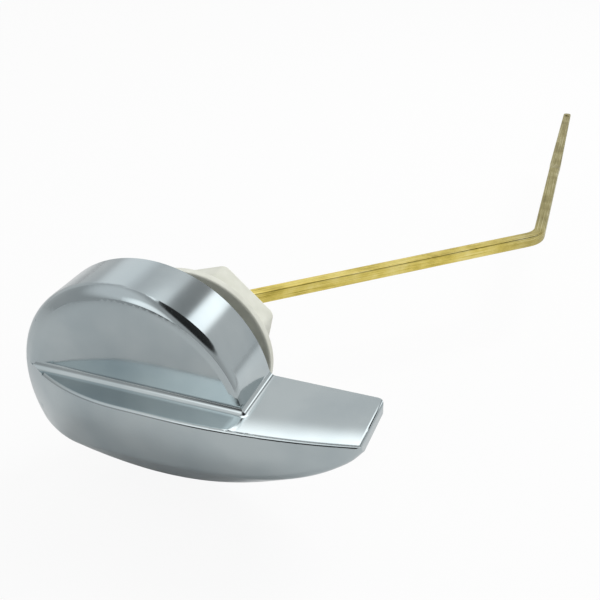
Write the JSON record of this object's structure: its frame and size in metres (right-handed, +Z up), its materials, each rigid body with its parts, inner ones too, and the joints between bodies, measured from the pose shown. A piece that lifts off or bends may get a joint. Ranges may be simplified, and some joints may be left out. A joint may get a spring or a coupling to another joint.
{
  "type": "cistern lever",
  "caption": "Side-mounted cistern flush lever: chrome handle with a domed round hub and flat thumb tail, plastic bush and hexagon nut, and a bent square brass arm with a flattened chain end.",
  "frame": {"origin": "on the spindle axis, at the outside face of the tank wall, where the sealing washer rests", "axes": "+Y along the spindle into the tank, +X along the handle's tail, +Z up"},
  "size_m": [0.0988, 0.2376, 0.055],
  "materials": {
    "chrome": "polished chrome plate on a zinc casting",
    "ivory_plastic": "moulded ivory plastic, satin",
    "black_rubber": "smooth black rubber",
    "steel": "plain stainless steel",
    "brass": "drawn brass bar, lightly tarnished"
  },
  "bodies": {
    "fixing": {"bush": "ivory_plastic", "sealing_washer": "black_rubber", "nut": "ivory_plastic"},
    "lever": {"handle": "chrome", "arm": "brass", "arm_screw": "steel", "retaining_clip": "steel"}
  },
  "joints": [
    {"name": "lever_turn", "type": "hinge", "parent": "fixing", "child": "lever", "pos_m": [0, 0, 0], "axis": [0, 1, 0], "range_deg": [-40, 0]}
  ]
}
